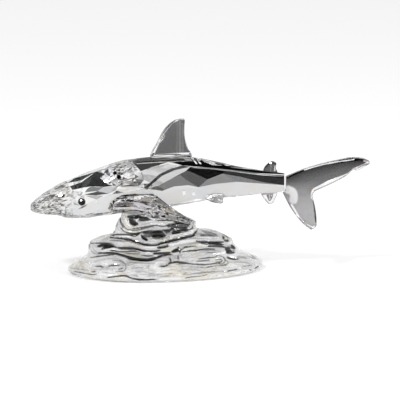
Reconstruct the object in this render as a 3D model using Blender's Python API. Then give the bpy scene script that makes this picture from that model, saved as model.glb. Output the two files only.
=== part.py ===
"""Cut-crystal shark on a wave-worn rock base, in metres with +Z up.

The origin is the centre of the base's flat underside. The shark swims towards -X, its left side faces -Y.
Every piece is glued, so neighbouring pieces stand one glue line apart.
"""

import math

import bmesh
import bpy
from mathutils import Vector

MM = 0.001

# Glue line between two glued pieces
GLUE_GAP = 0.3 * MM

# Body: rows of position along the length, back height, belly height and half width, in millimetres
BODY_ROWS = (
    (-66.9, 34.2, 31.0, 2.4),
    (-65.2, 36.0, 30.0, 4.6),
    (-61.5, 39.0, 29.2, 6.9),
    (-57.2, 41.7, 28.8, 8.4),
    (-52.6, 44.4, 28.6, 9.4),
    (-49.6, 45.8, 27.3, 9.9),
    (-41.0, 49.5, 27.0, 11.1),
    (-32.5, 52.7, 28.1, 12.1),
    (-24.0, 55.6, 29.2, 12.8),
    (-15.0, 57.3, 30.2, 13.1),
    (-5.0, 58.3, 31.5, 13.0),
    (6.0, 58.5, 33.5, 12.2),
    (16.5, 57.6, 35.4, 10.9),
    (27.5, 55.4, 37.1, 9.1),
    (38.5, 52.9, 38.3, 7.4),
    (48.5, 51.3, 39.4, 6.0),
    (56.5, 49.8, 40.2, 4.9),
)
BODY_END = 60.2 * MM
END_ROUNDING = 1.5 * MM
END_INSET = 1.2 * MM

# Angles from the top of the cut edges round the body, on the two kinds of staggered ring
FLAT_TOP_ANGLES = (20.0, 50.0, 80.0, 110.0, 150.0)
RIDGE_TOP_ANGLES = (0.0, 35.0, 65.0, 95.0, 130.0, 180.0)
FLAT_FULLNESS = 0.45

# Snout cut into small facets
SNOUT_REAR = -49.9 * MM
SNOUT_FACET_HEIGHT = 0.25 * MM

# Oval patch of small facets on each shoulder: its middle and its reach, along the body and round it in degrees
SHOULDER_MIDDLE = -21.5 * MM
SHOULDER_REACH = 11.0 * MM
SHOULDER_MIDDLE_ANGLE = 50.0
SHOULDER_REACH_ANGLE = 44.0
SHOULDER_EDGE_SEGMENTS = 3
SHOULDER_FACET_HEIGHT = 0.4 * MM

# Eyes: black cabochons in round sockets
EYE_RADIUS = 1.75 * MM
EYE_POSITION = -40.9 * MM
EYE_ANGLE = 94.0
EYE_STAND_OUT = 0.7 * MM
EYE_SEGMENTS = 24

# Flat fins have a thin rim, a cut bevel and a nearly flat face that falls towards the rear rim
RIM_THICKNESS = 0.6 * MM
LARGEST_BEVEL_SHARE = 0.3
FACE_BREAK_SHARE = 0.66
FACE_BREAK_FULLNESS = 0.96
REAR_BEVEL_FULLNESS = 0.62

# Ribs of the flat fins, from root to tip: leading point and trailing point, along and out, in millimetres
DORSAL_FRONT = -7.0 * MM
DORSAL_RIBS = (
    (0.0, -3.0, 20.6, -3.0),
    (0.0, 1.5, 20.6, 1.5),
    (3.2, 7.4, 18.7, 4.7),
    (6.0, 12.9, 17.3, 9.4),
    (8.8, 16.4, 17.0, 14.0),
    (12.0, 18.7, 17.3, 18.1),
    (15.2, 19.5, 16.8, 19.3),
)
DORSAL_SECTIONS = 18
DORSAL_THICKNESS = 4.6 * MM
DORSAL_TIP_THICKNESS = 2.0 * MM
DORSAL_BEVEL = 2.0 * MM
DORSAL_FOOT_FLARE = 2.0 * MM
DORSAL_FOOT_SHARE = 1 / 6

# The two small fins of the tail stalk are set from its end
SECOND_DORSAL_FRONT = BODY_END - 11.3 * MM
SECOND_DORSAL_RIBS = (
    (0.0, -1.5, 7.4, -3.0),
    (0.4, 0.4, 7.7, -1.1),
    (1.4, 2.4, 6.6, 1.3),
    (3.6, 4.3, 6.9, 2.9),
    (5.2, 4.8, 6.9, 3.9),
)
ANAL_FRONT = BODY_END - 12.2 * MM
ANAL_RIBS = (
    (0.0, -1.5, 8.4, -1.5),
    (0.3, 0.2, 8.3, 0.0),
    (2.0, 2.7, 7.5, 2.0),
    (3.5, 4.6, 6.8, 3.7),
    (4.4, 5.2, 6.2, 4.6),
)
SMALL_FIN_SECTIONS = 9
SMALL_FIN_THICKNESS = 2.5 * MM
SMALL_FIN_TIP_THICKNESS = 1.4 * MM
SMALL_FIN_BEVEL = 0.9 * MM

PELVIC_FRONT = 21.0 * MM
PELVIC_REAR = 29.0 * MM
PELVIC_ANGLE = 128.0
PELVIC_RIBS = (
    (0.0, -1.5, 8.0, -1.5),
    (0.6, 0.8, 8.0, 0.8),
    (3.1, 3.2, 7.4, 3.0),
    (5.9, 4.2, 7.6, 4.0),
)
PELVIC_THICKNESS = 2.8 * MM
PELVIC_TAPER = 0.5
PELVIC_PROFILE = ((0.25, 0.8), (0.5, 1.0), (0.8, 0.7))

# Tail fin ribs run from the lower tip to the upper tip, behind the body's end and above the stalk's middle
TAIL_RIBS = (
    (13.2, -24.0, 16.0, -21.9),
    (8.6, -20.4, 15.9, -17.6),
    (3.3, -13.5, 15.2, -12.4),
    (0.5, -8.4, 14.3, -8.6),
    (-1.4, -3.6, 13.8, -6.4),
    (-1.0, 2.2, 15.0, -4.3),
    (2.6, 4.4, 19.6, -2.1),
    (9.0, 7.1, 24.8, 0.4),
    (18.0, 9.9, 30.6, 3.6),
    (27.0, 12.0, 33.9, 6.8),
    (33.0, 13.1, 35.9, 6.2),
    (38.6, 12.7, 39.6, 8.2),
    (42.0, 11.2, 42.1, 9.6),
)
TAIL_ROOT_RIB = 4.5
TAIL_SECTIONS = 26
TAIL_THICKNESS = 5.6 * MM
TAIL_TIP_THICKNESS = 2.2 * MM
TAIL_BEVEL = 1.3 * MM
TAIL_TAPER = 0.8
TAIL_PROFILE = ((0.3, 0.92), (0.55, 1.0), (0.8, 0.86))

# Pectoral fin ribs: leading and trailing points as reach to the rear, span outwards and height above the root
PECTORAL_FRONT = -28.0 * MM
PECTORAL_ANGLE = 127.0
PECTORAL_RIBS = (
    (0.8, -3.4, 2.6, 23.5, -1.4, 8.6),
    (-0.4, 0.0, 0.0, 23.5, 2.6, 8.0),
    (9.4, 9.5, -0.1, 27.7, 8.0, 5.6),
    (24.6, 17.7, -1.1, 35.7, 14.8, 1.4),
    (41.3, 21.3, -3.0, 43.3, 20.0, -2.0),
)
PECTORAL_SECTIONS = 10
PECTORAL_CROWN = 6.4 * MM
PECTORAL_BELLY = 3.0 * MM
PECTORAL_TIP_SHARE = 0.22
PECTORAL_STAGGER = 0.06

# The two cut edges along the top of a pectoral fin are staggered, and the others stand still
PECTORAL_TOP_EDGES = ((0.38, 1.0), (0.68, 0.8))
PECTORAL_TOP_FRONT = (0.12, 0.72)
PECTORAL_UNDERSIDE = ((0.2, 0.8), (0.45, 1.0), (0.7, 0.9))

# Rock base: rings of height, left reach, right reach, half depth, wave depth and front dip, in millimetres
ROCK_RINGS = (
    (0.0, 46.8, 47.4, 25.6, 0.3, 0.0),
    (1.4, 48.2, 48.8, 26.8, 0.4, 0.0),
    (3.2, 48.4, 49.0, 26.9, 0.6, 0.3),
    (5.2, 46.4, 46.4, 25.6, 1.2, 0.7),
    (7.2, 42.8, 42.0, 23.0, 1.7, 0.9),
    (9.0, 39.8, 38.6, 20.0, 1.6, 1.0),
    (10.8, 38.2, 36.6, 17.6, 1.2, 1.2),
    (12.6, 38.0, 35.2, 18.2, 1.2, 1.5),
    (14.4, 38.2, 34.2, 20.4, 1.6, 1.8),
    (16.2, 37.4, 32.2, 20.8, 1.8, 1.8),
    (17.4, 34.4, 29.0, 18.6, 1.7, 1.4),
    (18.4, 29.6, 24.0, 14.4, 1.4, 0.8),
    (19.4, 26.2, 18.6, 10.8, 1.1, 0.3),
    (21.4, 24.8, 16.0, 9.4, 1.0, 0.5),
    (23.8, 24.4, 16.2, 10.4, 1.3, 0.8),
    (26.0, 23.8, 13.0, 9.8, 0.9, 0.4),
    (28.6, 22.2, 6.6, 8.0, 0.5, 0.0),
    (31.4, 21.0, 2.2, 6.6, 0.3, 0.0),
    (36.0, 19.8, -1.0, 5.4, 0.2, 0.0),
)
ROCK_SEGMENTS = 64
ROCK_SLANT = 0.11
LEDGE_RISE = 0.4
LEDGE_RIPPLE = 0.3

# Waves round a ledge: share of the wave depth, waves in a turn, and turn of the wave from one ring to the next
ROCK_WAVES = (
    (0.5, 3, 0.5),
    (0.3, 5, -0.6),
    (0.2, 9, 0.8),
)


def clear_scene():
    for thing in list(bpy.data.objects):
        bpy.data.objects.remove(thing)


def crystal(name, colour, roughness, metallic, transmission):
    """One surface finish, as a Principled BSDF."""
    finish = bpy.data.materials.new(name)
    finish.use_nodes = True
    shader = finish.node_tree.nodes["Principled BSDF"]
    shader.inputs["Base Color"].default_value = (*colour, 1.0)
    shader.inputs["Roughness"].default_value = roughness
    shader.inputs["Metallic"].default_value = metallic
    shader.inputs["Transmission Weight"].default_value = transmission
    shader.inputs["IOR"].default_value = 1.54
    finish.diffuse_color = (*colour, 1.0)
    return finish


def new_object(name, shape, finish, smooth_angle=None):
    """Turns a bmesh into a named object. smooth_angle is in degrees, or None for flat cut facets."""
    bmesh.ops.recalc_face_normals(shape, faces=shape.faces)
    mesh = bpy.data.meshes.new(name)
    shape.to_mesh(mesh)
    shape.free()
    mesh.materials.append(finish)
    if smooth_angle is not None:
        mesh.shade_smooth()
        mesh.set_sharp_from_angle(angle=math.radians(smooth_angle))
    thing = bpy.data.objects.new(name, mesh)
    bpy.context.scene.collection.objects.link(thing)
    return thing


def make_cutter(thing):
    thing.hide_render = True
    thing.display_type = "WIRE"
    return thing


def cut(thing, cutter):
    """Takes the cutter's volume out of a solid."""
    step = thing.modifiers.new("cut_by_" + cutter.name, "BOOLEAN")
    step.operation = "DIFFERENCE"
    step.object = cutter


def on_curve(points, share):
    """A point of the smooth curve through the points, from share 0 to share 1."""
    spans = len(points) - 1
    place = min(max(share, 0.0), 1.0) * spans
    index = min(int(place), spans - 1)
    t = place - index
    before = points[max(index - 1, 0)]
    start = points[index]
    end = points[index + 1]
    after = points[min(index + 2, spans)]
    bend = 2 * before - 5 * start + 4 * end - after
    twist = -before + 3 * start - 3 * end + after
    return 0.5 * (2 * start + (end - before) * t + bend * t * t + twist * t * t * t)


def join_rings(shape, first, second, shift=None):
    """Four-sided facets where shift is None, and otherwise triangles between staggered rings."""
    count = len(first)
    for i in range(count):
        after = (i + 1) % count
        if shift is None:
            shape.faces.new((first[i], first[after], second[after], second[i]))
        else:
            lead = (i + shift) % count
            shape.faces.new((first[i], first[after], second[lead]))
            shape.faces.new((first[after], second[(lead + 1) % count], second[lead]))


def body_section(x):
    """Back height, belly height and half width of the body at a place along its length."""
    rows = [[value * MM for value in row] for row in BODY_ROWS]
    for first, second in zip(rows, rows[1:]):
        if x <= second[0]:
            share = max(0.0, (x - first[0]) / (second[0] - first[0]))
            return [a + (b - a) * share for a, b in zip(first[1:], second[1:])]
    return rows[-1][1:]


def on_body(x, angle, side=-1, outward=0.0):
    """A point of the body's section at an angle from the top, moved outward by a distance."""
    back, belly, half_width = body_section(x)
    turn = math.radians(angle)
    across = side * (half_width + outward) * math.sin(turn)
    rise = ((back - belly) / 2 + outward) * math.cos(turn)
    return Vector((x, across, (back + belly) / 2 + rise))


def section_ring(shape, x, angles, outward):
    """One ring of cut edges round the body, whose top and bottom flats are raised towards full height."""
    back, belly, half_width = body_section(x)
    middle = (back + belly) / 2
    ring = []
    for angle in sorted({a % 360 for a in angles} | {-a % 360 for a in angles}):
        point = on_body(x, angle, 1, outward)
        flat = math.radians(angles[0] if point.z > middle else angles[-1])
        point.z = middle + (point.z - middle) / abs(math.cos(flat)) ** FLAT_FULLNESS
        ring.append(shape.verts.new(point))
    return ring


def loft_body(outward=0.0):
    """The body as staggered rings, so that its sides are triangular cut facets."""
    shape = bmesh.new()
    rings = []
    for index, row in enumerate(BODY_ROWS):
        angles = RIDGE_TOP_ANGLES if index % 2 else FLAT_TOP_ANGLES
        rings.append(section_ring(shape, row[0] * MM, angles, outward))
    for index, (first, second) in enumerate(zip(rings, rings[1:])):
        join_rings(shape, first, second, 0 if index % 2 else 1)
    for vertex in rings[0]:
        vertex.co.x -= outward
    last = rings[-1]
    for end, inset in ((BODY_END - END_ROUNDING, 0.0), (BODY_END, END_INSET)):
        ring = section_ring(shape, end, FLAT_TOP_ANGLES, outward - inset)
        for vertex in ring:
            vertex.co.x += outward
        join_rings(shape, last, ring)
        last = ring
    shape.faces.new(rings[0])
    shape.faces.new(last)
    bmesh.ops.recalc_face_normals(shape, faces=shape.faces)
    return shape


def in_shoulder(centre):
    """True for a facet centre inside the oval patch of small shoulder facets."""
    back, belly, half_width = body_section(centre.x)
    rise = (centre.z - (back + belly) / 2) / ((back - belly) / 2)
    angle = math.degrees(math.acos(max(-1.0, min(1.0, rise))))
    along = (centre.x - SHOULDER_MIDDLE) / SHOULDER_REACH
    around = (angle - SHOULDER_MIDDLE_ANGLE) / SHOULDER_REACH_ANGLE
    return along * along + around * around < 1


def in_snout(centre):
    return centre.x < SNOUT_REAR


def raise_small_facets(shape, wanted, height):
    """Splits each wanted face at its middle, raised a little, which leaves a field of small cut facets."""
    chosen = [face for face in shape.faces if wanted(face.calc_center_median())]
    bmesh.ops.poke(shape, faces=chosen, offset=height)


def make_body(finish):
    shape = loft_body()
    shoulder = [face for face in shape.faces if in_shoulder(face.calc_center_median())]
    edges = list({edge for face in shoulder for edge in face.edges})
    bmesh.ops.subdivide_edges(shape, edges=edges, cuts=SHOULDER_EDGE_SEGMENTS - 1, use_grid_fill=True)
    bmesh.ops.triangulate(shape, faces=[face for face in shape.faces if len(face.verts) > 4])
    raise_small_facets(shape, in_shoulder, SHOULDER_FACET_HEIGHT)
    raise_small_facets(shape, in_snout, SNOUT_FACET_HEIGHT)
    return new_object("body", shape, finish)


def rib_fin(leading, trailing, across, sections, profile):
    """A fin lofted from rib to rib between its leading and trailing edges.

    profile(share, chord) gives the rib's outline at that share of the way from the first rib to the last, as
    pairs of a share of the chord and a height along the across direction, in order round the rib.
    """
    shape = bmesh.new()
    last = None
    for i in range(sections + 1):
        share = i / sections
        front = on_curve(leading, share)
        chord = on_curve(trailing, share) - front
        rib = [shape.verts.new(front + chord * s + across * h) for s, h in profile(share, chord.length)]
        if last is None:
            shape.faces.new(rib)
        else:
            join_rings(shape, last, rib)
        last = rib
    shape.faces.new(last)
    return shape


def both_faces(upper):
    """Closes a rib's outline by mirroring its upper face to the lower side."""
    return upper + [(share, -height) for share, height in reversed(upper)]


def rimmed(profile, height):
    """Shares of the chord and of the height, with a thin rim before and after them."""
    rim = RIM_THICKNESS / 2
    return [(0.0, rim)] + [(share, fullness * height) for share, fullness in profile] + [(1.0, rim)]


def flat_rib(thickness, bevel, chord):
    """A flat-cut rib: thin rim, front bevel, flat face, and a second facet that falls to the rear rim."""
    front = min(bevel / chord, LARGEST_BEVEL_SHARE)
    profile = (
        (front, 1.0),
        (FACE_BREAK_SHARE, FACE_BREAK_FULLNESS),
        (1 - front / 2, REAR_BEVEL_FULLNESS),
    )
    return both_faces(rimmed(profile, thickness / 2))


def rib_points(rows, origin, along, out):
    """Leading and trailing points of a fin from its rows of millimetres along and out."""
    leading = [origin + (along * row[0] + out * row[1]) * MM for row in rows]
    trailing = [origin + (along * row[2] + out * row[3]) * MM for row in rows]
    return leading, trailing


def make_dorsal_fin(finish):
    origin = Vector((DORSAL_FRONT, 0, body_section(DORSAL_FRONT)[0]))
    leading, trailing = rib_points(DORSAL_RIBS, origin, Vector((1, 0, 0)), Vector((0, 0, 1)))

    def rib(share, chord):
        thickness = DORSAL_THICKNESS + (DORSAL_TIP_THICKNESS - DORSAL_THICKNESS) * share
        if share < DORSAL_FOOT_SHARE:
            thickness += DORSAL_FOOT_FLARE
        return flat_rib(thickness, DORSAL_BEVEL, chord)

    shape = rib_fin(leading, trailing, Vector((0, 1, 0)), DORSAL_SECTIONS, rib)
    return new_object("dorsal_fin", shape, finish)


def make_small_fin(name, finish, rows, origin, out):
    """A small upright fin in the middle plane."""
    leading, trailing = rib_points(rows, origin, Vector((1, 0, 0)), out)

    def rib(share, chord):
        thickness = SMALL_FIN_THICKNESS + (SMALL_FIN_TIP_THICKNESS - SMALL_FIN_THICKNESS) * share
        return flat_rib(thickness, SMALL_FIN_BEVEL, chord)

    shape = rib_fin(leading, trailing, Vector((0, 1, 0)), SMALL_FIN_SECTIONS, rib)
    return new_object(name, shape, finish)


def make_pelvic_fin(name, finish, side):
    """A small clear fin that leans out and back from the belly."""
    seat = on_body(PELVIC_FRONT, PELVIC_ANGLE, side)
    along = (on_body(PELVIC_REAR, PELVIC_ANGLE, side) - seat).normalized()
    out = (on_body(PELVIC_FRONT, PELVIC_ANGLE, side, MM) - seat).normalized()
    leading, trailing = rib_points(PELVIC_RIBS, seat, along, out)
    across = along.cross(out).normalized()

    def rib(share, chord):
        half = PELVIC_THICKNESS * (1 - PELVIC_TAPER * share) / 2
        return both_faces(rimmed(PELVIC_PROFILE, half))

    shape = rib_fin(leading, trailing, across, SMALL_FIN_SECTIONS, rib)
    return new_object(name, shape, finish)


def make_pectoral_fin(name, finish, side):
    """A thick faceted fin, swept back and down, crowned on top and flatter below."""
    seat = on_body(PECTORAL_FRONT, PECTORAL_ANGLE, side)
    leading = [seat + Vector((row[0], side * row[1], row[2])) * MM for row in PECTORAL_RIBS]
    trailing = [seat + Vector((row[3], side * row[4], row[5])) * MM for row in PECTORAL_RIBS]
    across = (trailing[1] - leading[1]).cross(leading[-1] - leading[1]).normalized()
    if across.z < 0:
        across = -across

    def rib(share, chord):
        taper = 1 - (1 - PECTORAL_TIP_SHARE) * share
        stagger = PECTORAL_STAGGER if round(share * PECTORAL_SECTIONS) % 2 else -PECTORAL_STAGGER
        top = [PECTORAL_TOP_FRONT] + [(place + stagger, fullness) for place, fullness in PECTORAL_TOP_EDGES]
        upper = rimmed(top, PECTORAL_CROWN * taper)
        lower = rimmed(PECTORAL_UNDERSIDE, PECTORAL_BELLY * taper)
        return upper + [(place, -height) for place, height in reversed(lower)]

    shape = rib_fin(leading, trailing, across, PECTORAL_SECTIONS, rib)
    bmesh.ops.triangulate(shape, faces=[face for face in shape.faces if len(face.verts) == 4])
    return new_object(name, shape, finish)


def make_tail_fin(finish):
    """A crescent cut from one piece, with smooth swelling faces and a bevel all round."""
    back, belly, half_width = body_section(BODY_END)
    middle = Vector((BODY_END, 0, (back + belly) / 2))
    leading, trailing = rib_points(TAIL_RIBS, middle, Vector((1, 0, 0)), Vector((0, 0, 1)))
    root_share = TAIL_ROOT_RIB / (len(TAIL_RIBS) - 1)

    def rib(share, chord):
        from_root = abs(share - root_share) / max(root_share, 1 - root_share)
        half = (TAIL_THICKNESS + (TAIL_TIP_THICKNESS - TAIL_THICKNESS) * from_root**TAIL_TAPER) / 2
        edge = min(TAIL_BEVEL / chord, LARGEST_BEVEL_SHARE)
        profile = ((edge, REAR_BEVEL_FULLNESS), *TAIL_PROFILE, (1 - edge, REAR_BEVEL_FULLNESS))
        return both_faces(rimmed(profile, half))

    shape = rib_fin(leading, trailing, Vector((0, 1, 0)), TAIL_SECTIONS, rib)
    return new_object("tail_fin", shape, finish, smooth_angle=14)


def make_eye(name, finish, side, grown=0.0):
    """A round cabochon that stands a little out of the cheek."""
    seat = on_body(EYE_POSITION, EYE_ANGLE, side, EYE_STAND_OUT - EYE_RADIUS)
    shape = bmesh.new()
    bmesh.ops.create_uvsphere(
        shape, u_segments=EYE_SEGMENTS, v_segments=EYE_SEGMENTS // 2, radius=EYE_RADIUS + grown
    )
    bmesh.ops.translate(shape, verts=shape.verts, vec=seat)
    return new_object(name, shape, finish, smooth_angle=60)


def make_wave_base(finish):
    """Stacked ledges like a wave-worn rock, on an oval foot whose right end turns back a little."""
    shape = bmesh.new()
    last = None
    for level, row in enumerate(ROCK_RINGS):
        height, left, right, half_depth, wave, dip = [value * MM for value in row]
        ring = []
        for i in range(ROCK_SEGMENTS):
            turn = 2 * math.pi * i / ROCK_SEGMENTS
            waves = [share * math.sin(count * turn + drift * level) for share, count, drift in ROCK_WAVES]
            worn = wave * sum(waves)
            x = (right - left) / 2 + ((right + left) / 2 + worn) * math.cos(turn)
            y = (half_depth + worn) * math.sin(turn) + ROCK_SLANT * x
            front = max(0.0, -math.sin(turn)) ** 3
            ripple = LEDGE_RISE * math.cos(turn) + LEDGE_RIPPLE * math.sin(4 * turn + level / 2)
            ring.append(shape.verts.new((x, y, height + dip * (ripple - front))))
        if last is None:
            shape.faces.new(ring)
        else:
            join_rings(shape, last, ring)
        last = ring
    shape.faces.new(last)
    return new_object("wave_base", shape, finish, smooth_angle=50)


def main():
    clear_scene()
    clear_crystal = crystal("clear_crystal", (0.95, 0.96, 0.97), 0.02, 0.0, 1.0)
    silver_crystal = crystal("silver_shade_crystal", (0.5, 0.5, 0.52), 0.04, 0.5, 0.5)
    base_crystal = crystal("pressed_crystal", (0.94, 0.95, 0.95), 0.03, 0.0, 1.0)
    jet = crystal("jet", (0.01, 0.01, 0.01), 0.05, 0.0, 0.0)

    body = make_body(clear_crystal)
    body_room = make_cutter(new_object("body_room", loft_body(GLUE_GAP), clear_crystal))

    up = Vector((0, 0, 1))
    second_seat = Vector((SECOND_DORSAL_FRONT, 0, body_section(SECOND_DORSAL_FRONT)[0]))
    anal_seat = Vector((ANAL_FRONT, 0, body_section(ANAL_FRONT)[1]))
    glued = [
        make_dorsal_fin(silver_crystal),
        make_small_fin("second_dorsal_fin", silver_crystal, SECOND_DORSAL_RIBS, second_seat, up),
        make_small_fin("anal_fin", clear_crystal, ANAL_RIBS, anal_seat, -up),
        make_tail_fin(silver_crystal),
        make_wave_base(base_crystal),
    ]
    for side, word in ((-1, "left"), (1, "right")):
        glued.append(make_pectoral_fin("pectoral_fin_" + word, clear_crystal, side))
        glued.append(make_pelvic_fin("pelvic_fin_" + word, clear_crystal, side))
        make_eye("eye_" + word, jet, side)
        socket = make_cutter(make_eye("socket_" + word, jet, side, GLUE_GAP))
        cut(body, socket)
    for piece in glued:
        cut(piece, body_room)


main()
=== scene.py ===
"""Cut-crystal shark on a wave-worn crystal rock, photographed on a white table."""
import math
import random

import bmesh
import bpy
import numpy as np
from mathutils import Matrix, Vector
from mathutils.geometry import delaunay_2d_cdt


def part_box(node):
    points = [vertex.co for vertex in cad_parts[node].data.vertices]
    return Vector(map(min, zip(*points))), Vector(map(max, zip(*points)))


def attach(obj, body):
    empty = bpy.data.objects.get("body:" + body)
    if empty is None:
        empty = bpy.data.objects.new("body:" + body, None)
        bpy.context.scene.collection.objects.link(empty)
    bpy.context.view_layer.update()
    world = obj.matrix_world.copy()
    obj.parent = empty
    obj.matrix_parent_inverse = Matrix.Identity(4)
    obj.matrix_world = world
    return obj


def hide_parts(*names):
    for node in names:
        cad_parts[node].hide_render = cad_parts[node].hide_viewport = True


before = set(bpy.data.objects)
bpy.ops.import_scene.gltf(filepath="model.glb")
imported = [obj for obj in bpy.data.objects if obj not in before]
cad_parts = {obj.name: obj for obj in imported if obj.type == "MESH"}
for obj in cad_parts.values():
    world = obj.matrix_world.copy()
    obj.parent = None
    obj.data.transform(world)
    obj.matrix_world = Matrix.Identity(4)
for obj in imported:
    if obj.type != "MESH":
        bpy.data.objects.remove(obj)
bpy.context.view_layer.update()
scene = bpy.context.scene
scene.view_settings.view_transform = "Standard"
MM = 0.001


# Camera and studio
# The figurine stands on a white table under soft, plain light. Glass shows the room round it, so the room is
# white up to half-way and dark overhead, where the studio's ceiling is.
VIEW_FROM = math.radians(12)
CAMERA_DISTANCE = 1.5
LOOKED_AT = Vector((17.75, 0.0, 36.2)) * MM
camera = bpy.data.objects.new("camera", bpy.data.cameras.new("camera"))
scene.collection.objects.link(camera)
camera.location = LOOKED_AT + CAMERA_DISTANCE * Vector((0, -math.cos(VIEW_FROM), math.sin(VIEW_FROM)))
camera.rotation_euler = (LOOKED_AT - camera.location).to_track_quat("-Z", "Y").to_euler()
camera.data.sensor_width = 36
camera.data.lens = 270
camera.data.clip_end = 20
scene.camera = camera
scene.cycles.max_bounces = 24
scene.cycles.transmission_bounces = 24
scene.cycles.glossy_bounces = 12


COLUMN_WIDTH, ROW_HEIGHT = 220, 180


def node_in(tree, kind, place, **settings):
    """A new node of a tree, at a column and row, with its settings."""
    node = tree.nodes.new(kind)
    node.location = (COLUMN_WIDTH * place[0], -ROW_HEIGHT * place[1])
    for setting, value in settings.items():
        setattr(node, setting, value)
    return node


def ramp_in(tree, place, stops, interpolation="LINEAR"):
    """A colour ramp with stops of position and grey value or colour."""
    ramp = node_in(tree, "ShaderNodeValToRGB", place)
    ramp.color_ramp.interpolation = interpolation
    elements = ramp.color_ramp.elements
    while len(elements) < len(stops):
        elements.new(0.5)
    for element, (position, value) in zip(elements, stops):
        element.position = position
        element.color = (*value, 1) if isinstance(value, tuple) else (value, value, value, 1)
    return ramp


def light_path_to_glass(tree, place):
    """One where a ray has met glass or metal, by reflection or by passing through, and else zero."""
    path = node_in(tree, "ShaderNodeLightPath", place)
    either = node_in(tree, "ShaderNodeMath", (place[0] + 1, place[1]), operation="MAXIMUM")
    tree.links.new(path.outputs["Is Glossy Ray"], either.inputs[0])
    tree.links.new(path.outputs["Is Transmission Ray"], either.inputs[1])
    return path, either.outputs[0]


def mixed(tree, place, factor, first, second):
    """The output of a shader mix, from the first at 0 to the second at 1."""
    mix = node_in(tree, "ShaderNodeMixShader", place)
    for source, target in zip((factor, first, second), mix.inputs):
        tree.links.new(source, target)
    return mix.outputs[0]


def placed(name, shape):
    """A bmesh as a new object of the scene."""
    mesh = bpy.data.meshes.new(name)
    shape.to_mesh(mesh)
    shape.free()
    thing = bpy.data.objects.new(name, mesh)
    scene.collection.objects.link(thing)
    return thing


# How bright the room is as glass sees it, from straight down at 0 to straight up at 1
ROOM_BRIGHTNESS = ((0.0, 1.0), (0.70, 1.0), (0.80, 0.12), (0.90, 0.03), (0.96, 0.06), (0.975, 1.0))
SOFT_LIGHT = 0.75
world = bpy.data.worlds.new("studio")
scene.world = world
world.use_nodes = True
tree = world.node_tree
tree.nodes.clear()
place = node_in(tree, "ShaderNodeTexCoord", (0, 0))
split = node_in(tree, "ShaderNodeSeparateXYZ", (1, 0))
height = node_in(tree, "ShaderNodeMapRange", (2, 0))
height.inputs["From Min"].default_value = -1
ceiling = ramp_in(tree, (3, 0), ROOM_BRIGHTNESS)
room = node_in(tree, "ShaderNodeBackground", (5, 0))
tree.links.new(place.outputs["Generated"], split.inputs[0])
tree.links.new(split.outputs["Z"], height.inputs["Value"])
tree.links.new(height.outputs[0], ceiling.inputs[0])
tree.links.new(ceiling.outputs[0], room.inputs["Color"])
soft = node_in(tree, "ShaderNodeBackground", (5, 1))
soft.inputs["Color"].default_value = (1, 1, 1, 1)
soft.inputs["Strength"].default_value = SOFT_LIGHT
white = node_in(tree, "ShaderNodeBackground", (5, 2))
white.inputs["Color"].default_value = (1, 1, 1, 1)
path, glassy = light_path_to_glass(tree, (3, 3))
in_glass = mixed(tree, (6, 0), glassy, soft.outputs[0], room.outputs[0])
seen = mixed(tree, (7, 0), path.outputs["Is Camera Ray"], in_glass, white.outputs[0])
tree.links.new(seen, node_in(tree, "ShaderNodeOutputWorld", (8, 0)).inputs[0])

TABLE_RADIUS, TABLE_TOP = 3.0, -0.1 * MM
TABLE_WHITE, TABLE_GLOW = 0.98, 0.4
shape = bmesh.new()
bmesh.ops.create_circle(shape, cap_ends=True, segments=96, radius=TABLE_RADIUS)
table = placed("table", shape)
table.location.z = TABLE_TOP
paint = bpy.data.materials.new("table_white")
paint.use_nodes = True
tree = paint.node_tree
tree.nodes.clear()
shaded = node_in(tree, "ShaderNodeBsdfDiffuse", (2, 0))
shaded.inputs["Color"].default_value = (TABLE_WHITE, TABLE_WHITE, TABLE_WHITE, 1)
glowing = node_in(tree, "ShaderNodeEmission", (2, 1))
path, glassy = light_path_to_glass(tree, (-1, 2))
most = node_in(tree, "ShaderNodeMath", (1, 2), operation="MAXIMUM")
share = node_in(tree, "ShaderNodeMath", (2, 2), operation="MULTIPLY")
share.inputs[1].default_value = TABLE_GLOW
tree.links.new(path.outputs["Is Camera Ray"], most.inputs[0])
tree.links.new(glassy, most.inputs[1])
tree.links.new(most.outputs[0], share.inputs[0])
both = mixed(tree, (3, 0), share.outputs[0], shaded.outputs[0], glowing.outputs[0])
tree.links.new(both, node_in(tree, "ShaderNodeOutputMaterial", (4, 0)).inputs[0])
table.data.materials.append(paint)

KEY_SPOT, FILL_SPOT = Vector((-0.5, -0.6, 0.9)), Vector((0.7, -0.3, 0.7))
LAMP_TARGET, LAMP_SIZE = Vector((0, 0, 0.04)), 0.12
for name, spot, power in (("key", KEY_SPOT, 6.0), ("fill", FILL_SPOT, 3.0)):
    light = bpy.data.lights.new(name, "AREA")
    light.size = LAMP_SIZE
    light.energy = power
    lamp = bpy.data.objects.new(name, light)
    lamp.location = spot
    lamp.rotation_euler = (LAMP_TARGET - spot).to_track_quat("-Z", "Y").to_euler()
    scene.collection.objects.link(lamp)


# Body
# One block of clear crystal, cut with flat facets of many sizes and glued to the rock. Each facet's tone is
# partly a smoky silver coating over the back and partly painted reflection and refraction, and the pale
# glint, glow and white facets are painted highlights. The side facets are laid out on the cutter's plan:
# millimetres along, degrees from the back.
BODY_SECTIONS = (
    # distance along, back height, belly height and half width
    (-66.9, 34.2, 31.0, 2.4),
    (-65.2, 36.0, 30.0, 4.6),
    (-61.5, 39.0, 29.2, 6.9),
    (-57.2, 41.7, 28.8, 8.4),
    (-52.6, 44.4, 28.6, 9.4),
    (-49.6, 45.8, 27.3, 9.9),
    (-41.0, 49.5, 27.0, 11.1),
    (-32.5, 52.7, 28.1, 12.1),
    (-24.0, 55.6, 29.2, 12.8),
    (-15.0, 57.3, 30.2, 13.1),
    (-5.0, 58.3, 31.5, 13.0),
    (6.0, 58.5, 33.5, 12.2),
    (16.5, 57.6, 35.4, 10.9),
    (27.5, 55.4, 37.1, 9.1),
    (38.5, 52.9, 38.3, 7.4),
    (48.5, 51.3, 39.4, 6.0),
    (56.5, 49.8, 40.2, 4.9),
)
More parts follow.
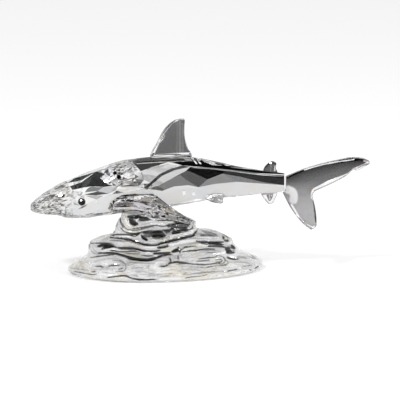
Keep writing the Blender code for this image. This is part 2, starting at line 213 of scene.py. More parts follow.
BODY_FRONT, BODY_REAR = -66.9, 59.7
BODY_PLAN = (
    # name of the facet, its tone as it looks against white (smoky coating with painted reflection, refraction
    # and highlights), and its corners
    ("brow strip", 0.85, (-49, 0, -42, 0, -35, 0, -27, 0, -32, 18, -34, 19, -39, 17, -48, 20)),
    ("upper temple", 0.38, (-48, 22, -45, 8, -39, 17, -34, 19, -41, 34)),
    ("temple line", 1.0, (-48, 22, -41, 34, -34, 19, -41, 40, -47, 39)),
    ("front temple", 0.37, (-47, 39, -41, 40, -36, 36, -37, 52, -40, 58, -45.5, 55)),
    ("rear temple", 0.33, (-41, 40, -34, 19, -29.5, 41, -32, 45, -36, 36)),
    ("dark temple", 0.31, (-37, 52, -36, 36, -32, 45, -28, 66, -25.5, 73, -30, 70, -36, 61, -40, 58)),
    ("cheek glint", 0.98, (-45.5, 55, -40, 58, -38, 63, -39.5, 71, -42, 65)),
    ("cheek grey", 0.51, (-39.5, 71, -38, 63, -36, 61, -33, 67, -30, 70, -33, 76)),
    ("cheek pale", 0.76, (-33, 76, -30, 70, -23, 77, -24, 84, -27.5, 88)),
    ("cheek sliver", 0.35, (-40, 76, -34, 77, -27.5, 88, -34, 85)),
    ("jaw triangle", 0.70, (-39.5, 79, -34, 85, -30, 90, -33.5, 96)),
    ("shoulder glow", 0.97, (-24, 84, -23, 77, -12.5, 82, -10, 89, -20, 92)),
    ("back front", 0.45, (-16, 16, -12, 2, -6, 0, 3, 0, 14, 0, 8, 33, 2, 29, -7, 26, -15, 28)),
    ("shoulder black", 0.22, (-15, 28, -7, 26, 2, 30, -6, 42, -11.5, 50)),
    ("back line", 0.20, (2, 29, 8, 29, 24, 29, 33, 23, 49, 4, 59.7, 4, 59.7, 18, 49, 31, 38, 31,
                         30, 40, 22, 42, 15, 43, 9, 41)),
    ("flank blue", 0.80, (-11, 51, -6, 42, 2, 36, 7.5, 41, -2.5, 61, -7, 77, -10, 70)),
    ("flank arc", 0.38, (-10, 87, -7, 77, -2.5, 61, 3, 50, 9, 41, 13, 44, 5, 54, -1, 65, -5, 78, -8, 88)),
    ("flank leaf", 0.78, (-6.5, 88, -5, 78, -1, 65, 5, 54, 13, 44, 11, 55, 4, 72, -2.5, 85)),
    ("flank mid", 0.49, (-6.5, 88, -2.5, 85, 4, 72, 8, 66, 11, 78, 17, 98, 12, 91, 5, 91, -1, 98, -5, 93)),
    ("flank grey", 0.35, (4, 72, 11, 55, 13, 58, 21.5, 77, 17, 98, 11, 78, 8, 66)),
    ("flank dark", 0.26, (11, 55, 13, 44, 22, 46, 29, 56, 21.5, 77, 13, 58)),
    ("flank rear", 0.54, (21.5, 77, 29, 56, 38, 60, 36, 80, 25, 90, 17, 98)),
    ("stalk line", 0.56, (13, 47, 18, 42, 33, 36, 45, 37, 59.7, 27, 59.7, 30, 49, 40, 33, 43, 18, 48)),
    ("stalk dark", 0.31, (29, 56, 30, 46, 49, 43, 59.7, 39, 59.7, 93, 49, 78, 38, 60)),
    ("stalk wedge", 0.50, (29, 56, 38, 60, 49, 78, 59.7, 94, 44, 83, 36, 80)),
    ("long belly", 0.89, (-5, 93, -1, 98, 5, 91, 12, 91, 17, 98, 25, 90, 36, 80, 44, 83, 59.7, 94,
                          59.7, 150, 38, 141, 18, 149, -2.5, 142)),
    ("cheek flat", 0.9, (-45, 97, -41.5, 103, -33.5, 96, -27.5, 90, -20, 92, -10, 90, -5, 93,
                         -2.5, 142, -24, 140, -46, 135)),
    ("back olive", 0.38, (-14, 20, 4.5, 20, 12, 14, 12, 24, 4.5, 31, -13.5, 29)),
    ("back glint", 0.85, (-14, 27, 4.5, 29, 11, 22, 4.5, 31, -13.5, 29)),
    ("saddle olive", 0.6, (9, 12, 13, 1, 14, 24, 11, 25)),
    ("saddle white", 1.0, (13.5, 1, 14.5, 7, 16.5, 34, 15.5, 33, 14, 15)),
    ("saddle second white", 1.0, (15.5, 1, 16.5, 6, 18.5, 33, 17.5, 32)),
    ("back streak", 0.9, (18, 10, 25.5, 13, 25, 22, 20, 21)),
    ("back spark", 0.95, (29.5, 12, 33.5, 3, 31, 18)),
    ("belly glint", 1.0, (9, 106, 10.5, 106, 10.5, 116, 9.5, 117)),
    ("cheek dash", 0.4, (-42.8, 112, -41, 107, -38, 103.5, -40.6, 111)),
    ("jaw dash", 0.5, (-39.5, 136, -37, 133.5, -34.5, 133, -36.5, 136.5)),
    ("belly shade", 0.35, (-3, 158, 5, 160, 15, 163, 15, 168, 5, 166, -3, 163)),
    ("snout dark", 0.3, (-51.6, 68, -50.6, 61, -49, 62, -50.2, 71)),
    ("shoulder spot", 0.15, (-25.6, 42, -24.6, 38, -23.4, 44, -24.6, 49)),
    ("second shoulder spot", 0.15, (-23.6, 55, -22.2, 51, -21.2, 57, -22.6, 62)),
    ("shoulder grey", 0.4, (-29.2, 27, -27.8, 25, -27.6, 36, -29, 36)),
    ("second belly glint", 1.0, (13.5, 113, 15, 112, 15.5, 122, 14, 121)),
)
# Facets made nearly solid, so that their painted highlights show as pale solid tones with nothing seen
# through them
SOLID_PAINTED_LIGHT_FACETS = ("cheek glint", "shoulder glow", "brow strip")


def between(p, a, b, q, t):
    """A smooth curve's value, a share t of the way from a to b, with p before them and q after."""
    return 0.5 * (2 * a + (b - p) * t + (2 * p - 5 * a + 4 * b - q) * t * t
                  + (3 * a - p - 3 * b + q) * t ** 3)


def body_section(x):
    """Back height, belly height and half width at a place, on a smooth curve through the sections."""
    rows = BODY_SECTIONS
    at = max(i for i, row in enumerate(rows) if row[0] <= x or i == 0)
    if at == len(rows) - 1:
        return rows[-1][1:]
    before, start = rows[max(at - 1, 0)], rows[at]
    end, after = rows[at + 1], rows[min(at + 2, len(rows) - 1)]
    t = max(0.0, (x - start[0]) / (end[0] - start[0]))
    columns = zip(before[1:], start[1:], end[1:], after[1:])
    return [between(p, a, b, q, t) for p, a, b, q in columns]


def on_body(x, angle, side=-1):
    """A point of the body's skin, in metres."""
    back, belly, half_width = body_section(x)
    turn = math.radians(angle)
    rise = (back - belly) / 2 * math.cos(turn)
    return Vector((x, side * half_width * math.sin(turn), (back + belly) / 2 + rise)) * MM


def skin_normal(x, angle, side=-1):
    """The outward direction of the smooth skin at a place."""
    step, turn = 0.5, 2
    along = on_body(x + step, angle, side) - on_body(x - step, angle, side)
    round_it = on_body(x, angle + turn, side) - on_body(x, angle - turn, side)
    normal = along.cross(round_it).normalized()
    centre = Vector((x * MM, 0, sum(body_section(x)[:2]) / 2 * MM))
    return normal if normal.dot(on_body(x, angle, side) - centre) > 0 else -normal


SHINE = 0.045
SCREEN_GAMMA = 2.2
CLEAR_FROM, CLEAR_OVER = 0.85, 0.1
LEAST_GLASSY = 0.4


def coat_and_painted_light_for(tone, clearest=1.0):
    """Base colour and clearness that make crystal look a tone against white, a smoky coating with painted
    light.

    Light crosses the coating once, where the shader takes the square root of its colour. The polish itself
    adds a little white, and a dark coating is partly solid.
    """
    tone = np.asarray(tone, dtype=float)
    clear = np.asarray(clearest) * np.clip((tone - CLEAR_FROM) / CLEAR_OVER, 0, 1)
    glassy = LEAST_GLASSY + (1 - LEAST_GLASSY) * clear
    light = np.maximum(tone ** SCREEN_GAMMA - SHINE, 0)
    solid = np.maximum(1 - glassy, 1e-3)
    return ((np.sqrt(glassy ** 2 + 4 * solid * light) - glassy) / (2 * solid)) ** 2, clear


def lay_coat_and_painted_light(layers, elements, tones, clearest=1.0):
    """Stores the tones, a smoky coating with painted light, on vertices or faces. clearest is one number, or
    one for each face.
    """
    layers.float.new("coat_and_painted_light")
    layers.float.new("clear")
    coat_and_light_of, clear_of = layers.float["coat_and_painted_light"], layers.float["clear"]
    for element, coat_and_painted_light, clear in zip(list(elements), *coat_and_painted_light_for(tones, clearest)):
        element[coat_and_light_of] = coat_and_painted_light
        element[clear_of] = clear


# Width of a degree on the flat plan in millimetres, and how near two corners may lie before they are one
DEGREE = 0.25
CORNER_REACH = 0.35
# Where the snout's small facets end, above and below, and the angle between its long and its short ones
SNOUT_TOP_REAR, SNOUT_LOW_REAR, SNOUT_SIDE = -44.5, -44, 78
# Rows of short facets low on the snout and of long ones above: rows, facets in a row, spacing and turn
LOW_ROWS, LOW_STEPS, LOW_PITCH, LOW_TURN, LOW_LEAN = 28, 15, 0.85, 12, 0.06
TOP_ROWS, TOP_STEPS, TOP_PITCH, TOP_TURN = 9, 14, 2.6, 5.8
LOW_FRONT, TOP_FRONT = -66.5, -65.5
# Rings of facets on the shoulder, round a middle, and plain facets along the belly
CLUSTER_RINGS, CLUSTER_X, CLUSTER_ANGLE, CLUSTER_LENGTH, CLUSTER_SPREAD = 6, -21.0, 44, 10.5, 34
BELLY_ROWS, BELLY_FRONT, BELLY_PITCH, BELLY_ANGLES = 12, -46, 9.0, (105, 120, 135, 155, 168)
chance = random.Random(7)
corners, plan_faces, shades = [], [], []
for _, shade, numbers in BODY_PLAN:
    first = len(corners)
    corners += [Vector((x, angle * DEGREE)) for x, angle in zip(numbers[::2], numbers[1::2])]
    plan_faces.append(list(range(first, len(corners))))
    shades.append(shade)
for x in range(-66, 60, 3):
    corners += [Vector((x, 0)), Vector((x, 180 * DEGREE))]
for angle in range(0, 181, 15):
    corners += [Vector((BODY_FRONT, angle * DEGREE)), Vector((BODY_REAR, angle * DEGREE))]
for row in range(LOW_ROWS):
    for step in range(LOW_STEPS):
        angle = (step + 0.5 * (row % 2)) * LOW_TURN + chance.uniform(-3, 3)
        x = LOW_FRONT + LOW_PITCH * row + LOW_LEAN * (90 - angle) + chance.uniform(-0.3, 0.3)
        if BODY_FRONT + 1 < x < SNOUT_LOW_REAR and angle > SNOUT_SIDE:
            corners.append(Vector((x, min(angle, 178) * DEGREE)))
for row in range(TOP_ROWS):
    for step in range(TOP_STEPS):
        angle = 2 + TOP_TURN * step + chance.uniform(-1, 1)
        x = TOP_FRONT + TOP_PITCH * row + TOP_PITCH / 2 * (step % 2) + chance.uniform(-0.6, 0.6)
        if BODY_FRONT + 1 < x < SNOUT_TOP_REAR and angle <= SNOUT_SIDE:
            corners.append(Vector((x, angle * DEGREE)))
for ring in range(CLUSTER_RINGS):
    steps = 3 + 5 * ring
    for step in range(steps):
        turn = 2 * math.pi * (step + 0.5 * (ring % 2)) / steps
        reach = (ring + 0.5) / CLUSTER_RINGS
        x = CLUSTER_X + CLUSTER_LENGTH * reach * math.cos(turn) + chance.uniform(-0.3, 0.3)
        angle = CLUSTER_ANGLE + CLUSTER_SPREAD * reach * math.sin(turn) + chance.uniform(-2, 2)
        corners.append(Vector((x, max(angle, 3) * DEGREE)))
for row in range(BELLY_ROWS):
    for angle in BELLY_ANGLES:
        x = BELLY_FRONT + BELLY_PITCH * row + BELLY_PITCH / 2 * (angle % 2)
        corners.append(Vector((x, angle * DEGREE)))
points, _, found_faces, _, _, face_sources = delaunay_2d_cdt(corners, [], plan_faces, 0, CORNER_REACH)

# Random tones for the small facets: painted reflection, refraction and sparkle
SNOUT_TONES = (0.94, 0.89, 0.85, 0.79, 0.72, 0.66, 0.56, 0.46, 0.36)
BESIDE_EYE_TONES = (0.94, 0.88, 0.84, 0.76, 0.66)
CLUSTER_HEART_TONES = (1.0, 0.9, 0.6, 0.35)
CLUSTER_CREST_TONES = (0.93, 0.87, 0.81, 0.76, 0.64)
CLUSTER_TONES = (0.96, 0.91, 0.86, 0.81, 0.74, 0.62, 0.46)
PAINTED_BACK_SPARKLE_TONES = (0.15, 0.35, 0.95)
PLAIN_TONE = 0.95
EYE_FRONT, CHEEK_REAR = -48.5, -33
# Clearness of the nearly solid facets with painted highlights, and of the facets beside the eye
PAINTED_LIGHT_CLEARNESS, CHEEK_CLEARNESS = 0.1, 0.8
CAP_COAT = 0.9


def small_facet_tone(x, angle):
    """The tone of a facet that the plan leaves out, drawn at random from the tones its part of the body
    shows: painted reflection, refraction and sparkle.
    """
    if x < -43:
        return chance.choice(SNOUT_TONES if x < EYE_FRONT else BESIDE_EYE_TONES)
    if math.hypot((x + 22.5) / 3.0, (angle - 46) / 11) < 1:
        return chance.choice(CLUSTER_HEART_TONES)
    if abs(x + 24) < 11 and angle < 26:
        return chance.choice(CLUSTER_CREST_TONES)
    if abs(x + 21.5) < 11.5 and angle < 82:
        return chance.choice(CLUSTER_TONES)
    if x > 10 and angle < 60:
        return chance.choice(PAINTED_BACK_SPARKLE_TONES)
    return PLAIN_TONE


body = bmesh.new()
facet_of = body.faces.layers.int.new("facet")
tones, clearness = [], []
flat_normals = {}
for side in (-1, 1):
    places = [body.verts.new(on_body(p.x, p.y / DEGREE, side)) for p in points]
    for face, sources in zip(found_faces, face_sources):
        made = body.faces.new([places[i] for i in face])
        middle = sum((points[i] for i in face), Vector((0, 0))) / len(face)
        x, angle = middle.x, middle.y / DEGREE
        made[facet_of] = 0
        solid_painted_light = sources and BODY_PLAN[max(sources)][0] in SOLID_PAINTED_LIGHT_FACETS
        clearness.append(PAINTED_LIGHT_CLEARNESS if solid_painted_light else CHEEK_CLEARNESS if EYE_FRONT < x < CHEEK_REAR else 1.0)
        if sources:
            tones.append(shades[max(sources)])
            made[facet_of] = (max(sources) + 1) * (1 if side < 0 else -1)
            area = made.calc_area()
            flat_normals.setdefault(made[facet_of], Vector((0, 0, 0)))
            flat_normals[made[facet_of]] += area * skin_normal(x, angle, side)
        else:
            tones.append(small_facet_tone(x, angle))
lay_coat_and_painted_light(body.faces.layers, body.faces, tones, clearness)
bmesh.ops.remove_doubles(body, verts=body.verts, dist=0.05 * MM)
caps = []
for x in (BODY_FRONT, BODY_REAR):
    rim = [edge for edge in body.edges if edge.is_boundary and abs(edge.verts[0].co.x - x * MM) < 0.5 * MM]
    caps += bmesh.ops.contextual_create(body, geom=rim)["faces"]
for face in caps:
    face[body.faces.layers.float["coat_and_painted_light"]] = CAP_COAT
    face[body.faces.layers.float["clear"]] = 1.0
bmesh.ops.recalc_face_normals(body, faces=body.faces)
bmesh.ops.inset_region(body, faces=[caps[-1]], thickness=0.5 * MM, depth=0.5 * MM)


def apply_modifiers(piece):
    """Turns a piece and its modifiers into a plain mesh."""
    bpy.context.view_layer.update()
    evaluated = piece.evaluated_get(bpy.context.evaluated_depsgraph_get())
    applied = bpy.data.meshes.new_from_object(evaluated)
    piece.modifiers.clear()
    piece.data = applied


def finished(name, shape, finish, replaced, wear=None):
    """A bmesh as a named piece that stands for a CAD node. wear may add geometry nodes, which are applied."""
    piece = placed(name, shape)
    piece.data.materials.append(finish)
    if wear:
        wear(piece)
        apply_modifiers(piece)
    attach(piece, "root")
    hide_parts(replaced)
    return piece


def glass(name, colour=(1, 1, 1)):
    """Clear crystal with a polished surface. Returns the material, its node tree and its shader."""
    finish = bpy.data.materials.new(name)
    finish.use_nodes = True
    shader = finish.node_tree.nodes["Principled BSDF"]
    shader.inputs["Base Color"].default_value = (*colour, 1)
    shader.inputs["Roughness"].default_value = 0.0
    shader.inputs["IOR"].default_value = 1.54
    shader.inputs["Transmission Weight"].default_value = 1.0
    return finish, finish.node_tree, shader


def glass_with_painted_light(name, grain, cool, warm):
    """Crystal with tones on its outside, a smoky coating and painted light, as the piece's tone and clearness
    attributes say.

    Faint cool and warm tints play over it, with a grain in metres.
    """
    finish, tree, shader = glass(name)
    coat_and_painted_light = node_in(tree, "ShaderNodeAttribute", (-6, 0), attribute_name="coat_and_painted_light")
    clear = node_in(tree, "ShaderNodeAttribute", (-6, 3), attribute_name="clear")
    coords = node_in(tree, "ShaderNodeTexCoord", (-8, 1))
    play = node_in(tree, "ShaderNodeTexNoise", (-7, 1))
    play.inputs["Scale"].default_value = 1 / grain
    play.inputs["Detail"].default_value = 2.0
    tree.links.new(coords.outputs["Object"], play.inputs["Vector"])
    plain = (1.0, 1.0, 1.0)
    hue = ramp_in(tree, (-6, 1), ((0.35, cool), (0.48, plain), (0.52, plain), (0.65, warm)))
    tree.links.new(play.outputs["Fac"], hue.inputs[0])
    colour = node_in(tree, "ShaderNodeMix", (-4, 0), data_type="RGBA", blend_type="MULTIPLY")
    colour.inputs["Factor"].default_value = 1.0
    tree.links.new(coat_and_painted_light.outputs["Color"], colour.inputs["A"])
    tree.links.new(hue.outputs[0], colour.inputs["B"])
    side = node_in(tree, "ShaderNodeNewGeometry", (-6, 4))
    outside = node_in(tree, "ShaderNodeMix", (-2, 0), data_type="RGBA")
    outside.inputs["B"].default_value = (1, 1, 1, 1)
    tree.links.new(side.outputs["Backfacing"], outside.inputs["Factor"])
    tree.links.new(colour.outputs["Result"], outside.inputs["A"])
    tree.links.new(outside.outputs["Result"], shader.inputs["Base Color"])
    glassy = node_in(tree, "ShaderNodeMath", (-4, 3), operation="MULTIPLY_ADD")
    glassy.inputs[1].default_value = 1 - LEAST_GLASSY
    glassy.inputs[2].default_value = LEAST_GLASSY
    within = node_in(tree, "ShaderNodeMath", (-3, 3), operation="MAXIMUM")
    tree.links.new(clear.outputs["Fac"], glassy.inputs[0])
    tree.links.new(glassy.outputs[0], within.inputs[0])
    tree.links.new(side.outputs["Backfacing"], within.inputs[1])
    tree.links.new(within.outputs[0], shader.inputs["Transmission Weight"])
    return finish


body_glass = glass_with_painted_light("body_crystal", 12 * MM, (0.93, 0.96, 1.0), (1.0, 0.98, 0.94))
body_piece = finished("crystal_body", body, body_glass, replaced="body")

SOCKET_RADIUS = 2.05 * MM
SOCKET_SLACK = 0.01 * MM
socket_shape = bmesh.new()
for side in ("left", "right"):
    low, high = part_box("eye_" + side)
    ball = bmesh.ops.create_uvsphere(socket_shape, u_segments=32, v_segments=16, radius=SOCKET_RADIUS)
    bmesh.ops.translate(socket_shape, verts=ball["verts"], vec=(low + high) / 2)
sockets = placed("sockets", socket_shape)
step = body_piece.modifiers.new("sockets", "BOOLEAN")
step.object = sockets
step.operation = "DIFFERENCE"
step.solver = "EXACT"
apply_modifiers(body_piece)
drilled = body_piece.data
bpy.data.objects.remove(sockets)


def grained(tree, socket, scale, low, high):
    """Lets a shader's socket vary between two values in a fine grain."""
    grain = node_in(tree, "ShaderNodeTexNoise", (-3, 0))
    grain.inputs["Scale"].default_value = scale
    coords = node_in(tree, "ShaderNodeTexCoord", (-4, 0))
    tree.links.new(coords.outputs["Object"], grain.inputs["Vector"])
    level = ramp_in(tree, (-2, 0), ((0.3, low), (0.7, high)))
    tree.links.new(grain.outputs["Fac"], level.inputs[0])
    tree.links.new(level.outputs[0], socket)


silver = bpy.data.materials.new("socket_silver")
silver.use_nodes = True
shader = silver.node_tree.nodes["Principled BSDF"]
shader.inputs["Metallic"].default_value = 1.0
shader.inputs["Roughness"].default_value = 0.25
grained(silver.node_tree, shader.inputs["Base Color"], 900, 0.86, 0.95)
drilled.materials.append(silver)
eye_places = [sum(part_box("eye_" + side), Vector()) / 2 for side in ("left", "right")]
facets = drilled.attributes["facet"].data
normals = [None] * len(drilled.loops)
reach = SOCKET_RADIUS + SOCKET_SLACK
for face in drilled.polygons:
    number = facets[face.index].value
    spots = [drilled.vertices[i].co for i in face.vertices]
    if any(all((spot - place).length < reach for spot in spots) for place in eye_places):
        face.material_index = 1
    flat = flat_normals[number].normalized() if number in flat_normals else face.normal
    for loop in face.loop_indices:
        normals[loop] = flat
        if face.material_index == 1:
            spot = drilled.vertices[drilled.loops[loop].vertex_index].co
            place = min(eye_places, key=lambda middle: (middle - spot).length)
            normals[loop] = (place - spot).normalized()
drilled.normals_split_custom_set(normals)


# Eyes
# Black glass cabochons, polished, silvered behind and glued into round sockets. A small flat polished on each
# one catches the studio's main lamp.
EYE_RADIUS = 1.75 * MM
FLAT_SHARE = 0.95
POLISH_GRAIN = 0.5 * MM
jet, tree, shader = glass("jet_cabochon", (0.004, 0.004, 0.005))
shader.inputs["Transmission Weight"].default_value = 0.0
shader.inputs["Specular IOR Level"].default_value = 0.2
grained(tree, shader.inputs["Roughness"], 1 / POLISH_GRAIN, 0.02, 0.06)
for side, outward in (("left", -1), ("right", 1)):
    low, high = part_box("eye_" + side)
    centre = (low + high) / 2
    flat = ((KEY_SPOT - centre).normalized() + (camera.location - centre).normalized()).normalized()
    flat.y = abs(flat.y) * outward
    shape = bmesh.new()
    bmesh.ops.create_uvsphere(shape, u_segments=64, v_segments=32, radius=EYE_RADIUS)
    for face in shape.faces:
        face.smooth = True
    bmesh.ops.bisect_plane(shape, geom=shape.verts[:] + shape.edges[:] + shape.faces[:],
                           plane_co=flat * EYE_RADIUS * FLAT_SHARE, plane_no=flat, clear_outer=True)
    rim = [edge for edge in shape.edges if edge.is_boundary]
    for face in bmesh.ops.contextual_create(shape, geom=rim)["faces"]:
        face.smooth = False
    bmesh.ops.translate(shape, verts=shape.verts, vec=centre)
    finished("jet_eye_" + side, shape, jet, replaced="eye_" + side)


# Flat fins
# The back fins, the tail and the anal fin are cut flat from smoky crystal, with bevels along the rim. The
# bright bevels, the dark outlines and the light and dark streaks over the faces are painted highlights and
# painted shade, for how the bevels and faces reflect and refract the room. Tones are laid out as seen from a
# little above the
# side: along the figurine and up it, in millimetres.
SEEN_RISE, SEEN_DEPTH = math.cos(VIEW_FROM), math.sin(VIEW_FROM)
DORSAL_LINES = (
    # tone, half width and points of each line
    # painted streaks of reflection down the face
    (0.50, 0.55, (7.8, 58.6, 7.8, 74.3)),
    (0.47, 0.25, (6.3, 58.6, 6.5, 73.6)),
    (0.50, 0.3, (9.2, 58.6, 9.2, 73.3)),
    # a painted dark outline round the front edge and tip
    (0.30, 0.25, (-5.5, 58.4, -0.8, 68.6, 2.4, 72.2, 5.2, 74.7, 8.5, 75.8, 9.9, 74.7, 9.9, 67.5, 11, 63.6,
                  13.1, 59.5)),
    # painted highlight on the leading bevel
    (1.0, 1.55, (-6.5, 58.6, -4.6, 62.9, -2.4, 67.5, 0.3, 71.5, 3.2, 74.7, 6, 76.2)),
    # painted highlight along the foot
    (1.0, 0.75, (-6.2, 57.3, 3.8, 57.9, 13.1, 58.4)),
    # painted shadow under the foot's band
    (0.35, 0.5, (-6.5, 55.8, 3.8, 56.1, 13.1, 56.7)),
)
SECOND_DORSAL_LINES = (
    # painted light streaks on the face and a painted dark outline along the top
    (0.8, 0.45, (55.3, 52.2, 55, 50.2)),
    (0.5, 0.3, (53.4, 53.9, 52.9, 50.2)),
    (0.25, 0.6, (49.1, 50.4, 50.6, 52.5, 52.3, 53.9, 54, 54.2, 55.4, 53.7)),
)
ANAL_LINES = (
    # painted grey marks with a painted dark outline and a painted white streak
    (0.55, 0.9, (52.5, 38.1, 52.5, 36.9)),
    (0.55, 0.5, (51.7, 38.3, 53.4, 38.3)),
    (0.3, 0.2, (50.9, 38.7, 54.2, 38.7, 52.5, 35, 50.9, 38.7)),
    (0.85, 0.15, (52.5, 38.5, 52.5, 35.4)),
)
TAIL_LINES = (
    # painted highlights and shade: a pale patch at the root, a dark line along the top edge with a white
    # streak inside it, white bevels along the trailing edge, tip and lower edge, and a dark wedge
    (0.85, 2.0, (61.6, 40.6, 63.8, 39.6, 64.6, 37.6, 64.4, 35.4)),
    (0.14, 0.7, (61.1, 47.2, 65.7, 49.1, 69.8, 50.5, 76.5, 52.6, 86.9, 54.9, 94.4, 55.6, 99, 55.6,
                 102.3, 54.1)),
    (1.0, 0.25, (69.8, 50.4, 74.4, 51.8, 82.8, 53.9, 94.4, 55.6)),
    (1.0, 0.85, (102.3, 53.3, 96.1, 50, 94.8, 50.6, 91.5, 47.9, 82.8, 44.6, 76.9, 41.6, 74.4, 40,
                 74, 37.1, 75, 35.8)),
    (1.0, 0.8, (102, 54, 99, 52.3, 95.8, 51)),
    (0.2, 0.5, (74.8, 34.6, 75.5, 28.7, 75.7, 24.6)),
    (1.0, 0.5, (63.6, 32.9, 68.6, 25, 74, 21.6, 75.7, 22.9)),
)


def cut_piece(node):
    """The closed mesh of a CAD node, as a bmesh."""
    shape = bmesh.new()
    shape.from_mesh(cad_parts[node].data)
    bmesh.ops.remove_doubles(shape, verts=shape.verts, dist=0.002 * MM)
    bmesh.ops.recalc_face_normals(shape, faces=shape.faces)
    return shape


MOST_HALVINGS = 9


def refine(shape, longest):
    """Halves edges until none is longer than a length in millimetres."""
    for turn in range(MOST_HALVINGS):
        edges = [edge for edge in shape.edges if edge.calc_length() > longest * MM]
        if not edges:
            break
        bmesh.ops.subdivide_edges(shape, edges=edges, cuts=1)
        bmesh.ops.triangulate(shape, faces=[face for face in shape.faces if len(face.verts) > 3])


def near_line(x, y, line):
    """Distance from places to a line, in millimetres, and the share of the line's length there."""
    best, share = np.full(len(x), 1e9), np.zeros(len(x))
    spans = len(line) // 2 - 1
    for span in range(spans):
        ax, ay, bx, by = line[2 * span:2 * span + 4]
        dx, dy = bx - ax, by - ay
        t = np.clip(((x - ax) * dx + (y - ay) * dy) / max(dx * dx + dy * dy, 1e-9), 0, 1)
        away = np.hypot(x - ax - t * dx, y - ay - t * dy)
        share = np.where(away < best, (span + t) / spans, share)
        best = np.minimum(best, away)
    return best, share


def curved(line):
    """A smooth curve through a line's points, as a finer line."""
    points = np.array(line, dtype=float).reshape(-1, 2)
    padded = np.vstack([2 * points[0] - points[1], points, 2 * points[-1] - points[-2]])
    fine = [points[0]]
    for p, a, b, q in zip(padded, padded[1:], padded[2:], padded[3:]):
        for t in (0.25, 0.5, 0.75, 1.0):
            fine.append(between(p, a, b, q, t))
    return tuple(np.array(fine).ravel())


ECHO_GAP, ECHO_WIDTH, ECHO_TONE, ECHO_REACH = 0.7, 0.3, 0.5, 1.2


def drawn(tones, x, up, lines, taper=0.0, softness=0.4, echo=0.0):
    """Tones with smooth lines drawn over them in turn, thinner to their ends by a taper.

    A faint grey line may echo each one at a little distance.
    """
    tones = np.array(tones, dtype=float)
    for tone, width, line in lines:
        path = curved(line)
        reach = 1.5 * width + (ECHO_REACH if echo else 0)
        near = np.flatnonzero((x > min(path[::2]) - reach) & (x < max(path[::2]) + reach)
                              & (up > min(path[1::2]) - reach) & (up < max(path[1::2]) + reach))
        away, share = near_line(x[near], up[near], path)
        full = width * (1 - taper + taper * np.sin(math.pi * share) ** 0.5)
        weight = np.clip((1 + softness / 2 - away / full) / softness, 0, 1)
        faint = echo * np.clip(1 - np.abs(away - full - ECHO_GAP) / ECHO_WIDTH, 0, 1)
        tones[near] = tones[near] * (1 - faint) + ECHO_TONE * faint
        tones[near] = tones[near] * (1 - weight) + tone * weight
    return tones


TURNED_AWAY = -0.02


def outline_of(shape):
    """The edges where a piece turns away from its side, as lines along and up, in millimetres."""
    found = []
    for edge in shape.edges:
        if len(edge.link_faces) == 2 and len({face.normal.y < TURNED_AWAY for face in edge.link_faces}) == 2:
            a, b = [vertex.co / MM for vertex in edge.verts]
            found.append((a.x, a.z, b.x, b.z))
    return found


def side_places(shape):
    """Where vertices lie, in millimetres, and how high each is seen from its own side."""
    spots = np.array([vertex.co for vertex in shape.verts]) / MM
    return spots, spots[:, 2] * SEEN_RISE - np.abs(spots[:, 1]) * SEEN_DEPTH


def rim_distance(spots, outline):
    """How far each place lies from a piece's outline, in millimetres."""
    return np.min([near_line(spots[:, 0], spots[:, 2], line)[0] for line in outline], axis=0)


FIN_EDGE, FIN_RIM = 0.45, 0.3


def flat_fin(node, finish, lines, face_tone, painted_rim_tone, smooth_angle=None):
    """A flat fin in its finish. face_tone gives the tones of its faces from place and seen height, and the
    band along its outline gets the rim's tone, a painted highlight or shade of the bevel.
    """
    shape = cut_piece(node)
    outline = outline_of(shape)
    refine(shape, FIN_EDGE)
    spots, up = side_places(shape)
    tones = drawn(face_tone(spots[:, 0], up), spots[:, 0], up, lines)
    # painted light or shade of the bevel along the rim
    tones[rim_distance(spots, outline) < FIN_RIM] = painted_rim_tone
    lay_coat_and_painted_light(shape.verts.layers, shape.verts, tones)
    piece = finished("crystal_" + node, shape, finish, replaced=node)
    if smooth_angle:
        piece.data.shade_smooth()
        piece.data.set_sharp_from_angle(angle=math.radians(smooth_angle))
    return piece


smoky = glass_with_painted_light("smoky_crystal", 5 * MM, (0.97, 0.90, 1.0), (1.0, 0.93, 0.9))


def dorsal_face(x, up):
    """Smoky grey, a little lighter to the tip, with a patch of painted sparkle behind the front edge."""
    painted_sparks = np.array([chance.choice((0.1, 0.4, 0.4, 0.4, 1.0)) for spot in x])
    within = np.hypot((x + 1.3 - 0.3 * (up - 66)) / 1.2, (up - 66.2) / 2.4) < 1
    return np.where(within, painted_sparks, 0.40 - 0.03 * np.clip((66 - up) / 8, -1, 0))


def tail_face(x, up):
    """Smoky grey with painted shade and light: darkest along the top edge, lighter below it, and a pale lower
    lobe.
    """
    top = np.interp(x, (61, 70, 87, 99, 103), (47.2, 50.8, 55.2, 56, 54))
    upper = np.interp(top - up, (0, 1.2, 3, 6, 9), (0.19, 0.27, 0.345, 0.42, 0.46))
    lower = np.interp(up, (22, 30, 37, 41), (0.65, 0.67, 0.61, 0.54))
    low_share = np.clip((45.0 - up) / 4.5, 0, 1) * np.clip((78 - x) / 2, 0, 1)
    return upper + (lower - upper) * low_share


flat_fin("dorsal_fin", smoky, DORSAL_LINES, dorsal_face, 0.75)
flat_fin("second_dorsal_fin", smoky, SECOND_DORSAL_LINES, lambda x, up: 0.38 + 0 * x, 0.35)
flat_fin("anal_fin", smoky, ANAL_LINES, lambda x, up: 0.97 + 0 * x, 0.7)
flat_fin("tail_fin", smoky, TAIL_LINES, tail_face, 0.68, 20)


